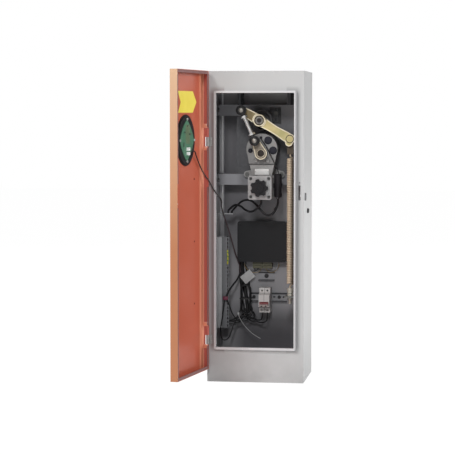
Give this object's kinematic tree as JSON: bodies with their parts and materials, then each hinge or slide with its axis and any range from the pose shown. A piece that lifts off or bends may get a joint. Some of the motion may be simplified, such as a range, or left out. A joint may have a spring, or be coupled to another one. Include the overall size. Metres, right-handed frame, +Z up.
{
  "type": "parking barrier gate",
  "caption": "Open barrier gate cabinet with a hinged door and sign, gear motor, crank, tie rod, boom lever and balance spring on a chassis plate.",
  "frame": {"origin": "middle of the anchor hole pattern, on the floor under the base plate", "axes": "+Z up, +Y from the service opening to the back of the cabinet, where the boom flange is, +X to the right seen from the front"},
  "size_m": [0.3817, 0.6, 1],
  "materials": {
    "cabinet_paint": "satin powder coat",
    "door_paint": "gloss orange-red powder coat",
    "trim_rubber": "matte",
    "galvanised": "zinc plated",
    "gold_zinc": "yellow zinc plated",
    "cast_alloy": "cast",
    "dark_iron": "painted",
    "bright_steel": "polished",
    "steel": "turned",
    "black_rubber": "matte",
    "black_plastic": "fine texture",
    "grey_plastic": "smooth",
    "white_plastic": "smooth",
    "red_plastic": "smooth",
    "green_plastic": "smooth",
    "board_green": "solder mask",
    "smoked_lens": "smoked"
  },
  "bodies": {
    "cabinet": {"cabinet_wrap": "cabinet_paint", "front_frame": "cabinet_paint", "roof_panel": "cabinet_paint", "rim_seal": "trim_rubber", "base_plate": "galvanised", "chassis_plate": "galvanised", "wall_channel": "galvanised", "chassis_bolts": "galvanised", "roof_straps": "galvanised", "spring_bracket": "galvanised", "spring_anchor": "galvanised", "mounting_rails": "galvanised", "cable_bracket": "galvanised", "hinge_leaves": "galvanised", "hinge_pins": "galvanised", "capacitor_clip": "galvanised", "balance_spring": "gold_zinc", "gearbox_housing": "cast_alloy", "gearbox_cover": "cast_alloy", "motor_body": "cast_alloy", "motor_end_bell": "cast_alloy", "front_bearing": "dark_iron", "rear_bearing": "dark_iron", "drive_screws": "dark_iron", "rail_bolts": "dark_iron", "lock_barrel": "bright_steel", "motor_cable": "black_rubber", "capacitor_cable": "black_rubber", "sign_cable": "black_rubber", "harness": "black_rubber", "breaker_leads": "black_rubber", "controller_lid": "black_plastic", "controller_case": "black_plastic", "side_plug": "black_plastic", "capacitor": "grey_plastic", "breaker_body": "white_plastic", "terminal_plugs": "green_plastic"},
    "door": {"door_pan": "door_paint", "door_knuckles": "door_paint", "door_rivets": "dark_iron", "lock_keeper": "galvanised", "sign_housing": "black_plastic", "sign_lens": "smoked_lens", "sign_board": "board_green", "sign_screws": "galvanised", "sign_connectors": "white_plastic"},
    "lever": {"main_shaft": "steel", "boom_flange": "dark_iron", "drive_lever": "gold_zinc", "clamp_bolt": "dark_iron", "spring_pin": "gold_zinc", "ball_stud": "bright_steel"},
    "rod": {"tie_rod": "bright_steel", "rod_ends": "black_rubber"},
    "crank": {"crank": "gold_zinc", "crank_shaft": "steel"},
    "wheel": {"handwheel": "black_plastic"},
    "yoke": {"spring_yoke": "galvanised"},
    "lock": {"lock_cam": "bright_steel"},
    "toggle": {"breaker_toggle": "red_plastic"}
  },
  "joints": [
    {"name": "lever_swing", "type": "hinge", "parent": "cabinet", "child": "lever", "pos_m": [0, -0.03, 0.842], "axis": [0, -1, 0], "range_deg": [0, 90], "deforming": ["balance_spring"]},
    {"name": "rod_pivot", "type": "hinge", "parent": "lever", "child": "rod", "pos_m": [-0.057, -0.053, 0.875], "axis": [0, -1, 0], "range_deg": [-80, 2]},
    {"name": "crank_turn", "type": "hinge", "parent": "cabinet", "child": "crank", "pos_m": [0.005, -0.03, 0.735], "axis": [0, -1, 0], "range_deg": [-2, 196]},
    {"name": "wheel_spin", "type": "hinge", "parent": "cabinet", "child": "wheel", "pos_m": [0.005, -0.06, 0.624], "axis": [0, -1, 0], "range_deg": [-20, 5420]},
    {"name": "yoke_slide", "type": "slide", "parent": "cabinet", "child": "yoke", "axis": [-0.2425, 0, 0.9701], "range_m": [-0.002, 0.168]},
    {"name": "door_swing", "type": "hinge", "parent": "cabinet", "child": "door", "pos_m": [-0.153, -0.144, 0.5], "axis": [0, 0, 1], "range_deg": [-30, 100], "deforming": ["sign_cable"]},
    {"name": "lock_turn", "type": "hinge", "parent": "cabinet", "child": "lock", "pos_m": [0.15, -0.095, 0.598], "axis": [1, 0, 0], "range_deg": [0, 90]},
    {"name": "toggle_flip", "type": "hinge", "parent": "cabinet", "child": "toggle", "pos_m": [0.004, 0.0625, 0.233], "axis": [-1, 0, 0], "range_deg": [0, 56]}
  ],
  "couplings": [
    {"joint": "rod_pivot", "follows": "lever_swing", "ratio": -0.85169},
    {"joint": "crank_turn", "follows": "lever_swing", "ratio": 2.1483},
    {"joint": "wheel_spin", "follows": "lever_swing", "ratio": 60},
    {"joint": "yoke_slide", "follows": "lever_swing", "m_per_rad": 0.10499}
  ]
}
